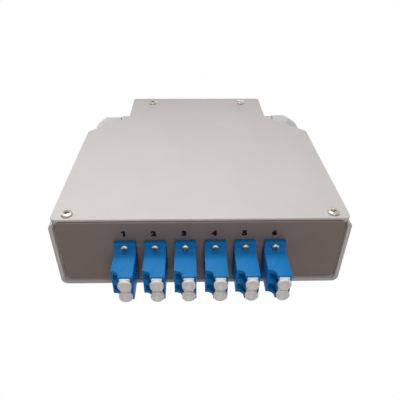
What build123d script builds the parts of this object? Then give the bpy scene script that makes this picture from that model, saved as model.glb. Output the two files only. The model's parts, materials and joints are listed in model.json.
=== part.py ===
from build123d import *
import os
from math import cos, radians, sqrt

# Sheet-steel fibre distribution box for a 35 mm DIN rail.
# The box lies on its flat bottom: front along -Y, right along +X, up along +Z.
# The origin is the middle of the bottom face. All sizes are millimetres.

# Folded tray
sheet = 1.7
tray_width = 129.0
tray_length = 136.5
tray_height = 35.5
tab_width = 86.0
tab_length = 29.5
bend_radius = 3.0
convex_radius = 3.2
open_front_overrun = 10.0
concave_radius = 2.0
flange_width = 12.5
flange_corner_radius = 1.0
mitre_gap = 0.6
mitre_start = 0.5
mitre_overrun = 1.0

# Flat cover
cover_sheet = 1.0
cover_inset = 0.5
cover_corner_radius = 2.0
cover_front_radius = 2.5
cover_overhang = 0.35
cover_edge_radius = 0.3
front_screw_from_side = 6.8
front_screw_from_front = 3.7
rear_screw_from_side = 13.2
rear_screw_from_rear = 8.2

# Front panel
panel_sheet = 1.2
panel_recess = 0.5
panel_side_gap = 0.8
panel_bottom_gap = 0.9
panel_top_gap = 0.2
panel_corner_radius = 2.5
panel_edge_radius = 0.25
panel_notch_gap = 0.5

# Panel brackets and studs
bracket_sheet = 1.2
bracket_reach = 11.5
bracket_depth = 12.0
bracket_bottom = 4.5
bracket_top_gap = 5.0
bracket_bend = 1.4
bracket_inner_bend = 0.3
stud_radius = 1.5
stud_length = 7.0
stud_hole_gap = 0.2
stud_from_bracket_end = 6.0
stud_from_bracket_edge = 5.0

# Duplex adapters, standing upright
adapter_count = 6
adapter_pitch = 13.05
adapter_row_shift = -0.35
adapter_axis_height = 14.9
adapter_width = 9.3
adapter_body_height = 13.0
adapter_reach = 15.3
adapter_flange_height = 22.0
adapter_flange_thickness = 2.5
adapter_flange_corner = 0.8
adapter_neck_radius = 2.0
adapter_cutout_gap = 0.15
adapter_hole_spacing = 17.6
adapter_hole_radius = 1.15
screw_seat_gap = 0.1
port_pitch = 6.25
port_width = 4.8
port_offset = 1.5
port_web = 6.5
latch_slot_height = 3.2
latch_wall = 0.75
notch_width = 2.9
notch_depth = 2.9
notch_radius = 1.4
holder_radius = 1.5
holder_length = 6.0
sleeve_inner_radius = 0.625
sleeve_wall = 0.18
sleeve_length = 6.8
sleeve_gap = 0.05
sleeve_slit = 0.3

# Dust caps
cap_neck_radius = 2.0
cap_holder_gap = 0.1
cap_standoff = 0.9
cap_end_gap = 0.1
cap_bore_depth = 10.0
cap_head_radius = 2.85
cap_head_thickness = 1.4
cap_rim_radius = 0.45
cap_dish_radius = 1.9
cap_dish_depth = 0.6

# Small machine screws and nuts
pan_head_rounding = 0.65
m2_shank_radius = 0.95
m2_head_radius = 1.8
m2_head_height = 1.3
m2_length = 6.2
m2_nut_flats = 4.0
m2_nut_thickness = 1.6
m2_nut_bore = 1.0
m3_shank_radius = 1.45
m3_head_radius = 2.8
m3_head_height = 1.5
m3_hole_radius = 1.7
m3_nut_flats = 5.5
m3_nut_thickness = 2.4
m3_nut_bore = 1.5
cover_screw_length = 6.0
clinch_nut_radius = 3.1
clinch_nut_height = 2.6

# Cable glands
gland_below_middle = 0.15
gland_from_rear = 15.3
gland_flats = 22.0
gland_thread_radius = 9.2
gland_hole_gap = 0.2
gasket_hole_gap = 0.1
gland_bore_radius = 6.2
gasket_thickness = 1.2
gasket_radius = 10.8
gland_hex_length = 5.5
gland_collar_radius = 8.6
gland_collar_length = 8.0
gland_corner_rounding = 0.2
gland_inner_length = 9.5
dome_flats = 21.5
dome_gap_left = 0.5
dome_gap_right = 1.4
dome_length = 17.0
dome_hex_length = 7.2
dome_shoulder_radius = 10.2
dome_shoulder_reach = 11.4
dome_tip_radius = 6.4
dome_tip_length = 0.7
dome_mouth_radius = 4.6
dome_mouth_rim = 1.0
dome_mouth_length = 2.2
dome_thread_gap = 0.08
dome_thread_length = 9.4
dome_crown_radius = 7.2
dome_turn_left = -6.0
dome_turn_right = 30.0
seal_radius = 6.1
seal_bore_radius = 4.5
seal_length = 8.0
seal_start = 3.0
locknut_flats = 22.0
locknut_thickness = 4.5
locknut_gap = 0.05

# Rail clip
rail_width = 35.0
rail_lip = 1.0
rail_lip_gap = 0.4
rail_side_gap = 0.2
clip_height = 26.0
clip_thickness = 8.0
clip_end = 24.0
clip_corner_radius = 1.5
hook_thickness = 2.2
hook_overhang = 2.4
latch_overhang = 2.0
latch_width = 14.0
latch_thickness = 2.8
latch_side_gap = 0.2
latch_face_gap = 0.2
latch_nose_length = 6.0
latch_tail_length = 12.0
latch_tail_hole = 5.0
latch_travel = 4.5
latch_end = 12.0
latch_lug_length = 4.0
latch_window_gap = 0.5
latch_lug_gap = 0.3
latch_hole_width = 3.0
latch_lead = 1.0
latch_lip_flat = 0.5
clip_left_inset = 0.1
spring_radius = 2.4
spring_wire = 0.6
spring_length = 14.0
spring_turns = 6
spring_axis_height = 3.3
spring_pocket_gap = 0.6
spring_stop_thickness = 2.0
spring_end_gap = 0.1
clip_screw_spacing_x = 18.0
clip_screw_spacing_z = 20.2
clip_screw_middle = -1.0
clip_screw_head_depth = 1.7
clip_screw_head_gap = 0.2
clip_screw_overrun = 0.8

# Splice tray and its comb
cassette_width = 112.0
cassette_depth = 62.0
cassette_height = 9.0
cassette_wall = 1.5
cassette_floor = 1.5
cassette_corner = 28.0
cassette_middle = -12.0
cassette_entry_width = 12.0
cassette_entry_x = 24.0
spool_radius = 19.0
spool_height = 7.0
spool_x = 33.0
lip_length = 8.0
lip_reach = 4.5
lip_thickness = 1.2
comb_width = 30.0
comb_depth = 25.0
comb_base = 1.2
comb_height = 6.5
comb_rib = 1.1
comb_slots = 6
standoff_flats = 5.5
standoff_height = 6.0
standoff_x = 38.0
tray_screw_length = 5.0

# Cable clamps and earth stud
saddle_radius = 3.2
saddle_sheet = 1.2
saddle_width = 9.0
saddle_foot = 8.0
saddle_x = 20.0
clamp_screw_inset = 0.3
earth_stud_radius = 2.4
earth_stud_height = 14.0
earth_washer_radius = 5.0
earth_washer_thickness = 1.0
earth_nut_flats = 8.0
earth_nut_thickness = 4.0
earth_nut_bore = 2.5
earth_stud_from_rear = 24.25

# Places worked out from the sizes
front = -tray_length / 2
rear = tray_length / 2
half_width = tray_width / 2
half_tab = tab_width / 2
inner_corner_y = rear - tab_length
shoulder_y = inner_corner_y - (half_width - half_tab)
panel_face = front + panel_recess
panel_back = panel_face + panel_sheet
cover_front = panel_back - cover_overhang
cover_rear = rear - cover_inset
flange_underside = tray_height - sheet
bracket_height = tray_height - bracket_bottom - bracket_top_gap
panel_half = half_width - sheet - panel_side_gap
panel_bottom = sheet + panel_bottom_gap
panel_top = tray_height - panel_top_gap
adapter_face = panel_face - adapter_flange_thickness
port_mouth = adapter_face - adapter_reach
port_depth = (2 * adapter_reach + adapter_flange_thickness - port_web) / 2
cap_plug_length = port_depth + cap_standoff - cap_end_gap
gland_y = rear - gland_from_rear
earth_stud_y = rear - earth_stud_from_rear
gland_height = tray_height / 2 - gland_below_middle
contact_y = rear + clip_thickness


def keep(name, solid):
    """Write one named piece."""
    export_step(solid, "parts/" + name + ".step")


def group(solids):
    """Several separate solids in one piece file."""
    return Compound(children=list(solids))


def block(x0, x1, y0, y1, z0, z1):
    """A box between two corners."""
    middle = ((x0 + x1) / 2, (y0 + y1) / 2, (z0 + z1) / 2)
    return Pos(*middle) * Box(x1 - x0, y1 - y0, z1 - z0)


def along_y(radius, y0, y1, x=0.0, z=0.0):
    """A round bar along Y."""
    return Pos(x, (y0 + y1) / 2, z) * Rot(90, 0, 0) * Cylinder(radius, y1 - y0)


def along_z(radius, z0, z1, x=0.0, y=0.0):
    """A round bar along Z."""
    return Pos(x, y, (z0 + z1) / 2) * Cylinder(radius, z1 - z0)


def plan_points(inset, front_y):
    """Corners of the box's plan, inset from the tray's outer faces."""
    slant = inset * (sqrt(2) - 1)
    right = [
        (half_width - inset, front_y),
        (half_width - inset, shoulder_y - slant),
        (half_tab - inset, inner_corner_y - slant),
        (half_tab - inset, rear - inset),
    ]
    left = [(-x, y) for x, y in reversed(right)]
    return right + left


def plan(inset, front_y, convex, concave, front_corner=0.0):
    """The box's plan as a face with rounded corners."""
    face = make_face(Polyline(plan_points(inset, front_y), close=True))
    hollow = [v for v in face.vertices() if abs(v.Y - plan_points(inset, front_y)[2][1]) < 0.01]
    tips = [v for v in face.vertices() if v.Y > front_y + 0.01 and v not in hollow]
    face = fillet(hollow, concave)
    tips = [v for v in face.vertices() if any(abs(v.X - t.X) + abs(v.Y - t.Y) < 0.01 for t in tips)]
    face = fillet(tips, convex)
    if front_corner > 0:
        face = fillet([v for v in face.vertices() if v.Y < front_y + 0.01], front_corner)
    return face


def rim_edges(solid, level, front_y):
    """Edges of the flat face at one level, without the one along the front."""
    return [e for e in solid.edges() if abs(e.center().Z - level) < 0.01 and e.center().Y > front_y + 0.01]


def folded_shell(inset, z0, z1, radius, front_y):
    """A closed form of the box whose lower and upper edges are rounded like bends."""
    convex = convex_radius - inset
    concave = concave_radius + inset
    solid = Pos(0, 0, z0) * extrude(plan(inset, front_y, convex, concave), z1 - z0)
    rims = rim_edges(solid, z0, front_y) + rim_edges(solid, z1, front_y)
    return fillet(rims, radius)


def mitre_cut(corner):
    """The slot that parts two flanges at one corner of the plan."""
    outer = Vector(*plan_points(bend_radius + mitre_start, front)[corner])
    inner = Vector(*plan_points(flange_width + mitre_overrun, front)[corner])
    run = inner - outer
    angle = Vector(1, 0, 0).get_signed_angle(run, Vector(0, 0, 1))
    middle = (outer + inner) / 2
    cut = Rot(0, 0, angle) * Box(run.length, mitre_gap, sheet * 2)
    return Pos(middle.X, middle.Y, tray_height) * cut


def cover_screw_places():
    """The four screws that hold the cover."""
    front_x = half_width - cover_inset - front_screw_from_side
    front_y = cover_front + front_screw_from_front
    rear_x = half_tab - cover_inset - rear_screw_from_side
    rear_y = cover_rear - rear_screw_from_rear
    return [(-front_x, front_y), (front_x, front_y), (-rear_x, rear_y), (rear_x, rear_y)]


def stud_places():
    """The four studs on the panel's back."""
    x = half_width - sheet - bracket_reach + stud_from_bracket_edge
    low = bracket_bottom + stud_from_bracket_end
    high = bracket_bottom + bracket_height - stud_from_bracket_end
    return [(sx * x, z) for sx in (-1, 1) for z in (low, high)]


def adapter_places():
    """Middle of each adapter along X."""
    first = adapter_row_shift - adapter_pitch * (adapter_count - 1) / 2
    return [first + adapter_pitch * i for i in range(adapter_count)]


def clip_screw_places():
    """The four screws of the rail clip, as X and Z."""
    xs = [clip_screw_middle + s * clip_screw_spacing_x / 2 for s in (-1, 1)]
    zs = [gland_height + s * clip_screw_spacing_z / 2 for s in (-1, 1)]
    return [(x, z) for x in xs for z in zs]


def saddle_screw_places():
    """The screws of the two cable clamps."""
    reach = saddle_radius + saddle_sheet + saddle_foot / 2
    return [(sx * saddle_x, gland_y + sy * reach) for sx in (-1, 1) for sy in (-1, 1)]


# Folded tray
def base_tray():
    open_front = front - open_front_overrun
    outside = folded_shell(0, 0, tray_height, bend_radius, open_front)
    inside = folded_shell(sheet, sheet, flange_underside, bend_radius - sheet, open_front)
    mouth = extrude(plan(flange_width, open_front, flange_corner_radius, concave_radius), sheet * 2)
    tray = outside - inside - Pos(0, 0, flange_underside - sheet / 2) * mouth
    tray -= block(-tray_width, tray_width, front - 2 * open_front_overrun, front, -1, tray_height + 1)
    notch_half = panel_half + panel_notch_gap
    notch_low = tray_height - bend_radius - sheet
    tray -= block(-notch_half, notch_half, front - 1, panel_back, notch_low, tray_height + 1)
    for corner in (1, 2, 3, 4, 5, 6):
        tray -= mitre_cut(corner)
    for x, y in cover_screw_places():
        tray -= along_z(m3_hole_radius, flange_underside - 1, tray_height + 1, x, y)
    for side in (-1, 1):
        hole = Pos(side * half_tab, gland_y, gland_height) * Rot(0, 90, 0)
        tray -= hole * Cylinder(gland_thread_radius + gland_hole_gap, sheet * 4)
    for x, z in clip_screw_places():
        tray -= along_y(m3_hole_radius, rear - sheet - 1, rear + 1, x, z)
    for x, y in saddle_screw_places():
        tray -= along_z(m3_hole_radius, -1, sheet + 1, x, y)
    return tray


def top_cover():
    outline = plan(cover_inset, cover_front, cover_corner_radius, concave_radius, cover_front_radius)
    plate = Pos(0, 0, tray_height) * extrude(outline, cover_sheet)
    top = tray_height + cover_sheet
    plate = fillet([e for e in plate.edges() if abs(e.center().Z - top) < 0.01], cover_edge_radius)
    for x, y in cover_screw_places():
        plate -= along_z(m3_hole_radius, tray_height - 1, top + 1, x, y)
    return plate


def pan_screw(shank_radius, length, head_radius, head_height):
    """Pan head screw along +Z: the head stands on z = 0 and the shank hangs below."""
    head = along_z(head_radius, 0, head_height)
    crown = [e for e in head.edges() if abs(e.center().Z - head_height) < 0.01]
    return fillet(crown, head_height * pan_head_rounding) + along_z(shank_radius, -length, 0.0)


def hex_nut(flats, thickness, bore):
    """Hexagonal nut standing on z = 0."""
    face = RegularPolygon(flats / 2, 6, major_radius=False) - Circle(bore)
    return extrude(face, thickness)


def cover_screws():
    screw = pan_screw(m3_shank_radius, cover_screw_length, m3_head_radius, m3_head_height)
    top = tray_height + cover_sheet
    return group([Pos(x, y, top) * screw for x, y in cover_screw_places()])


def clinch_nuts():
    nut = along_z(clinch_nut_radius, 0, clinch_nut_height) - along_z(m3_nut_bore, -1, clinch_nut_height + 1)
    level = flange_underside - clinch_nut_height
    return group([Pos(x, y, level) * nut for x, y in cover_screw_places()])


# Front panel and what holds it
def front_panel():
    middle = (panel_bottom + panel_top) / 2
    outline = RectangleRounded(2 * panel_half, panel_top - panel_bottom, panel_corner_radius)
    plate = Pos(0, panel_back, middle) * Rot(90, 0, 0) * extrude(outline, panel_sheet)
    rim = [e for e in plate.edges() if abs(e.center().Y - panel_face) < 0.01]
    plate = fillet(rim, panel_edge_radius)
    half_x = adapter_width / 2 + adapter_cutout_gap
    half_z = adapter_body_height / 2 + adapter_cutout_gap
    z = adapter_axis_height
    for x in adapter_places():
        plate -= block(x - half_x, x + half_x, panel_face - 1, panel_back + 1, z - half_z, z + half_z)
        for side in (-1, 1):
            hole_z = z + side * adapter_hole_spacing / 2
            plate -= along_y(adapter_hole_radius, panel_face - 1, panel_back + 1, x, hole_z)
    return plate


def panel_studs():
    end = panel_back + stud_length
    return group([along_y(stud_radius, panel_back, end, x, z) for x, z in stud_places()])


def panel_bracket(side):
    wall = half_width - sheet
    with BuildPart() as bracket:
        with BuildSketch(Pos(0, 0, bracket_bottom)):
            with BuildLine():
                corner = Polyline(
                    (wall - bracket_reach, panel_back),
                    (wall, panel_back),
                    (wall, panel_back + bracket_depth),
                    (wall - bracket_sheet, panel_back + bracket_depth),
                    (wall - bracket_sheet, panel_back + bracket_sheet),
                    (wall - bracket_reach, panel_back + bracket_sheet),
                    close=True,
                )
            make_face()
        extrude(amount=bracket_height)
        uprights = bracket.edges().filter_by(Axis.Z)
        outer = [e for e in uprights if abs(e.center().X - wall) + abs(e.center().Y - panel_back) < 0.01]
        inner_y = panel_back + bracket_sheet
        inner_x = wall - bracket_sheet
        inner = [e for e in uprights if abs(e.center().X - inner_x) + abs(e.center().Y - inner_y) < 0.01]
        fillet(outer, bracket_bend)
        fillet(inner, bracket_inner_bend)
    solid = bracket.part
    for x, z in stud_places():
        if x > 0:
            solid -= along_y(stud_radius + stud_hole_gap, panel_back - 1, inner_y + 1, x, z)
    return solid if side > 0 else mirror(solid, Plane.YZ)


def bracket_nuts():
    nut = Rot(-90, 0, 0) * hex_nut(m3_nut_flats, m3_nut_thickness, stud_radius + 0.05)
    seat = panel_back + bracket_sheet
    return group([Pos(x, seat, z) * nut for x, z in stud_places()])


# Duplex adapter, with its flange on the panel's face and its middle at x = 0, z = 0
def port_cut(z, start, end):
    half = port_width / 2
    cavity = block(port_offset - half, port_offset + half, start, end, z - half, z + half)
    channel_left = latch_wall - adapter_width / 2
    half_latch = latch_slot_height / 2
    channel = block(channel_left, port_offset - half + 0.1, start, end, z - half_latch, z + half_latch)
    return cavity + channel


def notch_cut():
    """The finger notch beside the latches, at the front end."""
    left = -adapter_width / 2
    right = left + notch_width
    back = port_mouth + notch_depth
    cut = block(left - 1, right, port_mouth - 1, back, -adapter_body_height, adapter_body_height)
    uprights = cut.edges().filter_by(Axis.Z)
    corner = [e for e in uprights if abs(e.center().X - right) + abs(e.center().Y - back) < 0.01]
    return fillet(corner, notch_radius)


def adapter_housing():
    half_w = adapter_width / 2
    half_h = adapter_body_height / 2
    half_flange = adapter_flange_height / 2
    flange = block(-half_w, half_w, adapter_face, panel_face, -half_flange, half_flange)
    flange = fillet(flange.edges().filter_by(Axis.Y), adapter_flange_corner)
    inner_end = panel_face + adapter_reach
    body = block(-half_w, half_w, port_mouth, inner_end, -half_h, half_h)
    housing = flange + body
    roots = [
        e for e in housing.edges().filter_by(Axis.X)
        if abs(e.center().Y - adapter_face) < 0.01 and abs(abs(e.center().Z) - half_h) < 0.01
    ]
    housing = fillet(roots, adapter_neck_radius)
    web_middle = (port_mouth + inner_end) / 2
    web_front = web_middle - port_web / 2
    web_back = web_middle + port_web / 2
    mirror_plane = Plane(origin=(0, web_middle, 0), z_dir=(0, 1, 0))
    notch = notch_cut()
    housing -= notch
    housing -= mirror(notch, mirror_plane)
    bore_radius = sleeve_inner_radius + sleeve_wall + sleeve_gap
    for side in (-1, 1):
        z = side * port_pitch / 2
        housing -= port_cut(z, port_mouth - 1, web_front)
        housing -= port_cut(z, web_back, inner_end + 1)
        ends = (web_front - holder_length, web_back + holder_length)
        holder = along_y(holder_radius, ends[0], ends[1], port_offset, z)
        bore = along_y(bore_radius, ends[0] - 1, ends[1] + 1, port_offset, z)
        housing = housing + holder - bore
        hole_z = side * adapter_hole_spacing / 2
        housing -= along_y(adapter_hole_radius, adapter_face - 1, panel_face + 1, 0, hole_z)
        seat_front = adapter_face - adapter_neck_radius - 1
        housing -= along_y(m2_head_radius + screw_seat_gap, seat_front, adapter_face, 0, hole_z)
    return housing


def port_places():
    """Name, X and Z of each port."""
    places = []
    for i, x in enumerate(adapter_places()):
        for letter, side in (("a", 1), ("b", -1)):
            name = str(i + 1) + letter
            places.append((name, x + port_offset, adapter_axis_height + side * port_pitch / 2))
    return places


def split_sleeves():
    middle = (port_mouth + panel_face + adapter_reach) / 2
    start = middle - sleeve_length / 2
    end = middle + sleeve_length / 2
    outer = along_y(sleeve_inner_radius + sleeve_wall, start, end)
    tube = outer - along_y(sleeve_inner_radius, start - 1, end + 1)
    tube -= block(0, 2, start - 1, end + 1, -sleeve_slit / 2, sleeve_slit / 2)
    return group([Pos(x, 0, z) * tube for name, x, z in port_places()])


def adapter_screws():
    screw = pan_screw(m2_shank_radius, m2_length, m2_head_radius, m2_head_height)
    places = [(x, side * adapter_hole_spacing / 2) for x in adapter_places() for side in (-1, 1)]
    turn = Rot(90, 0, 0)
    return group([Pos(x, adapter_face, adapter_axis_height + z) * turn * screw for x, z in places])


def adapter_nuts():
    nut = Rot(-90, 0, 0) * hex_nut(m2_nut_flats, m2_nut_thickness, m2_nut_bore)
    places = [(x, side * adapter_hole_spacing / 2) for x in adapter_places() for side in (-1, 1)]
    return group([Pos(x, panel_back, adapter_axis_height + z) * nut for x, z in places])


def dust_cap(dished):
    """Cap with its head's back at y = 0, its head along -Y and its hollow plug along +Y."""
    bore_radius = holder_radius + cap_holder_gap
    with BuildPart() as cap:
        with BuildSketch(Plane.XY):
            with BuildLine():
                Polyline(
                    (0, cap_plug_length - cap_bore_depth), (bore_radius, cap_plug_length - cap_bore_depth),
                    (bore_radius, cap_plug_length), (cap_neck_radius, cap_plug_length),
                    (cap_neck_radius, 0), (cap_head_radius, 0), (cap_head_radius, -cap_head_thickness),
                    (0, -cap_head_thickness), close=True,
                )
            face = make_face()
            rim = [v for v in face.vertices() if abs(v.X - cap_head_radius) < 0.01]
            fillet(rim, cap_rim_radius)
        revolve(axis=Axis.Y)
    solid = cap.part
    if dished:
        ball_radius = (cap_dish_radius ** 2 + cap_dish_depth ** 2) / (2 * cap_dish_depth)
        solid -= Pos(0, cap_dish_depth - cap_head_thickness - ball_radius, 0) * Sphere(ball_radius)
    return solid


def inner_caps():
    seat = panel_face + adapter_reach + cap_standoff
    cap = Rot(0, 0, 180) * dust_cap(False)
    return group([Pos(x, seat, z) * cap for name, x, z in port_places()])


# Cable gland along +Z, standing on z = 0, which is the tab wall's outer face
def ring(outer_radius, inner_radius, start, end):
    return along_z(outer_radius, start, end) - along_z(inner_radius, start - 1, end + 1)


def gland_gasket():
    return ring(gasket_radius, gland_thread_radius + gasket_hole_gap, 0, gasket_thickness)


def hexagon_radius(flats):
    """Radius at the corners of a spanner hexagon, slightly rounded off."""
    return flats / 2 / cos(radians(30)) - gland_corner_rounding


def gland_hexagon(flats, start, length):
    """Spanner hexagon with slightly rounded corners."""
    hexagon = extrude(RegularPolygon(flats / 2, 6, major_radius=False), length)
    return Pos(0, 0, start) * hexagon & along_z(hexagon_radius(flats), start, start + length)


def gland_body():
    """Threaded tube with a hexagon and a collar round the seal."""
    hex_end = gasket_thickness + gland_hex_length
    collar_end = hex_end + gland_collar_length
    thread_end = -sheet - gland_inner_length
    body = gland_hexagon(gland_flats, gasket_thickness, gland_hex_length)
    body += along_z(gland_thread_radius, thread_end, gasket_thickness)
    body += along_z(gland_collar_radius, hex_end, collar_end)
    return body - along_z(gland_bore_radius, thread_end - 1, collar_end + 1)


def dome_nut(gap):
    """Cap nut: hexagon, then a dome that closes to the cable's mouth."""
    start = gasket_thickness + gland_hex_length + gap
    end = start + dome_length
    corner_radius = hexagon_radius(dome_flats)
    mouth_edge = dome_mouth_radius + dome_mouth_rim
    with BuildPart() as dome:
        with BuildSketch(Plane.XZ):
            with BuildLine():
                low = Polyline((mouth_edge, end), (0, end), (0, start), (corner_radius, start),
                               (corner_radius, start + dome_hex_length))
                shoulder = ThreePointArc(low @ 1, (dome_shoulder_radius, start + dome_shoulder_reach),
                                         (dome_tip_radius, end - dome_tip_length))
                Line(shoulder @ 1, low @ 0)
            make_face()
        revolve(axis=Axis.Z)
    nut = dome.part & gland_hexagon(dome_flats, start, dome_length)
    nut -= along_z(gland_collar_radius + dome_thread_gap, start - 1, start + dome_thread_length)
    crown_end = end - dome_mouth_length
    crown = Pos(0, 0, start + dome_thread_length) * Cone(
        dome_crown_radius, dome_mouth_radius, crown_end - start - dome_thread_length,
        align=(Align.CENTER, Align.CENTER, Align.MIN),
    )
    return nut - crown - along_z(dome_mouth_radius, crown_end - 1, end + 1)


def gland_seal():
    start = gasket_thickness + gland_hex_length + seal_start
    return ring(seal_radius, seal_bore_radius, start, start + seal_length)


def gland_locknut():
    nut = hex_nut(locknut_flats, locknut_thickness, gland_thread_radius + locknut_gap)
    return Pos(0, 0, -sheet - locknut_thickness) * nut


def on_tab(solid, side, turn=0.0):
    """Carry a gland piece to the tab's left or right wall."""
    place = Pos(side * half_tab, gland_y, gland_height) * Rot(0, side * 90, 0) * Rot(0, 0, turn)
    return place * solid


# Rail clip on the rear wall; the rail runs along Z and its lips lie on the clip's face
def clip_body():
    left = clip_left_inset - rail_width / 2
    low = gland_height - clip_height / 2
    high = gland_height + clip_height / 2
    hook_left = rail_width / 2 + rail_side_gap
    lip_space = rail_lip + rail_lip_gap
    body = block(left, clip_end, rear, contact_y, low, high)
    jaw = block(hook_left, clip_end, contact_y - 1, contact_y + lip_space + hook_thickness, low, high)
    nose = block(hook_left - hook_overhang, hook_left + 1, contact_y + lip_space,
                 contact_y + lip_space + hook_thickness, low, high)
    body = body + jaw + nose
    tip = [
        e for e in body.edges().filter_by(Axis.Z)
        if abs(e.center().X - hook_left + hook_overhang) < 0.01 or abs(e.center().X - clip_end) < 0.01
        and e.center().Y > contact_y
    ]
    body = fillet(tip, hook_thickness * 0.45)
    half_channel = latch_width / 2 + latch_side_gap
    channel_top = rear + latch_face_gap + latch_thickness + latch_face_gap
    body -= block(left - 1, latch_end + spring_end_gap, rear - 1, channel_top,
                  gland_height - half_channel, gland_height + half_channel)
    half_pocket = spring_radius + spring_pocket_gap
    pocket_top = rear + spring_axis_height + half_pocket
    stop = latch_end - latch_lug_length - spring_length
    body -= block(stop, latch_end + spring_end_gap, rear - 1, pocket_top,
                  gland_height - half_pocket, gland_height + half_pocket)
    body += block(stop - spring_stop_thickness, stop, rear + latch_face_gap, channel_top + 0.1,
                  gland_height - half_pocket + latch_lug_gap, gland_height + half_pocket - latch_lug_gap)
    head_seat = contact_y - clip_screw_head_depth
    for x, z in clip_screw_places():
        body -= along_y(m3_hole_radius, rear - 1, contact_y + 1, x, z)
        body -= along_y(m3_head_radius + clip_screw_head_gap, head_seat, contact_y + 1, x, z)
    return body


def rail_latch():
    half = latch_width / 2
    low = rear + latch_face_gap
    high = low + latch_thickness
    jaw_right = -rail_width / 2 - rail_side_gap
    jaw_left = jaw_right - latch_nose_length
    lip_space = rail_lip + rail_lip_gap
    outer = contact_y + lip_space + hook_thickness
    with BuildPart() as latch:
        with BuildSketch(Plane.XY.offset(gland_height - half)):
            with BuildLine():
                Polyline(
                    (jaw_left - latch_tail_length, low), (latch_end, low), (latch_end, high),
                    (jaw_right, high), (jaw_right, contact_y + lip_space),
                    (jaw_right + latch_overhang, contact_y + lip_space),
                    (jaw_right + latch_overhang, contact_y + lip_space + latch_lip_flat),
                    (jaw_right - latch_lead, outer), (jaw_left, outer), (jaw_left, high),
                    (jaw_left - latch_tail_length, high), close=True,
                )
            make_face()
        extrude(amount=latch_width)
    solid = latch.part
    half_window = spring_radius + spring_pocket_gap
    stop = latch_end - latch_lug_length - spring_length
    window_left = stop - spring_stop_thickness - latch_window_gap
    window_right = latch_end - latch_lug_length
    solid -= block(window_left, window_right, low - 1, high + 1,
                   gland_height - half_window, gland_height + half_window)
    lug_top = rear + spring_axis_height + spring_radius
    solid += block(window_right, latch_end, low, lug_top, gland_height - half_window + latch_lug_gap,
                   gland_height + half_window - latch_lug_gap)
    tail_x = jaw_left - latch_tail_length / 2
    half_hole = latch_hole_width / 2
    hole = block(tail_x - half_hole, tail_x + half_hole, low - 1, high + 1,
                 gland_height - latch_tail_hole / 2, gland_height + latch_tail_hole / 2)
    return solid - hole


def latch_spring():
    """Open rings joined by their overlap: one closed coil between stop and lug."""
    end = latch_end - latch_lug_length - spring_end_gap
    length = spring_length - 2 * spring_end_gap
    pitch = (length - spring_wire) / spring_turns
    path = Helix(pitch, length - spring_wire, spring_radius - spring_wire / 2)
    start = path @ 0
    profile = Plane(origin=start, z_dir=path % 0) * Circle(spring_wire / 2)
    coil = sweep(profile, path, is_frenet=True)
    base = Pos(end - length + spring_wire / 2, rear + spring_axis_height, gland_height)
    return base * Rot(0, 90, 0) * coil


def clip_screws():
    head = contact_y - clip_screw_head_depth
    length = head - rear + sheet + m3_nut_thickness + clip_screw_overrun
    screw = pan_screw(m3_shank_radius, length, m3_head_radius, m3_head_height)
    turn = Rot(-90, 0, 0)
    return group([Pos(x, head, z) * turn * screw for x, z in clip_screw_places()])


def clip_nuts():
    nut = Rot(90, 0, 0) * hex_nut(m3_nut_flats, m3_nut_thickness, m3_nut_bore)
    return group([Pos(x, rear - sheet, z) * nut for x, z in clip_screw_places()])


# Splice tray, comb and what carries them
def cassette_level():
    return sheet + standoff_height


def half_spool(side):
    """One curved wall that the fibre is wound round, open towards the middle."""
    outer = Cylinder(spool_radius, spool_height)
    wall = outer - Cylinder(spool_radius - cassette_wall, spool_height + 1)
    wall -= Pos(-side * spool_radius, 0, 0) * Box(spool_radius * 1.5, spool_radius * 3, spool_height + 1)
    return Pos(side * spool_x, 0, cassette_floor + spool_height / 2) * wall


def side_lip(side, root, level):
    """A small lip that reaches inward from a wall at the given X."""
    near, far = sorted((side * root, side * (root - lip_reach)))
    return block(near, far, -lip_length / 2, lip_length / 2, level - lip_thickness, level)


def splice_tray():
    outline = RectangleRounded(cassette_width, cassette_depth, cassette_corner)
    hollow = RectangleRounded(cassette_width - 2 * cassette_wall, cassette_depth - 2 * cassette_wall,
                              cassette_corner - cassette_wall)
    tray = extrude(outline, cassette_height) - Pos(0, 0, cassette_floor) * extrude(hollow, cassette_height)
    half_depth = cassette_depth / 2
    half_entry = cassette_entry_width / 2
    wall_x = cassette_width / 2 - cassette_wall / 2
    wall_y = half_depth - cassette_wall / 2
    for side in (-1, 1):
        x = side * cassette_entry_x
        tray -= block(x - half_entry, x + half_entry, half_depth - cassette_wall - 1, half_depth + 1,
                      cassette_floor + 1, cassette_height + 1)
        tray += half_spool(side)
        tray += side_lip(side, wall_x, cassette_height)
        tray += side_lip(side, spool_x + spool_radius - cassette_wall / 2, cassette_floor + spool_height)
        tray += Rot(0, 0, 90) * side_lip(side, wall_y, cassette_height)
        tray -= along_z(m3_hole_radius, -1, cassette_floor + 1, side * standoff_x, 0)
    return Pos(0, cassette_middle, cassette_level()) * tray


def splice_comb():
    comb = block(-comb_width / 2, comb_width / 2, -comb_depth / 2, comb_depth / 2, 0, comb_base)
    pitch = (comb_depth - comb_rib) / comb_slots
    for i in range(comb_slots + 1):
        y = -comb_depth / 2 + comb_rib / 2 + i * pitch
        comb += block(-comb_width / 2, comb_width / 2, y - comb_rib / 2, y + comb_rib / 2, 0, comb_height)
    comb -= block(-comb_width / 6, comb_width / 6, -comb_depth, comb_depth, comb_base, comb_height + 1)
    return Pos(0, cassette_middle, cassette_level() + cassette_floor) * comb


def tray_standoffs():
    post = hex_nut(standoff_flats, standoff_height, m3_nut_bore)
    return group([Pos(side * standoff_x, cassette_middle, sheet) * post for side in (-1, 1)])


def splice_tray_screws():
    screw = pan_screw(m3_shank_radius, tray_screw_length, m3_head_radius, m3_head_height)
    level = cassette_level() + cassette_floor
    return group([Pos(side * standoff_x, cassette_middle, level) * screw for side in (-1, 1)])


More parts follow.
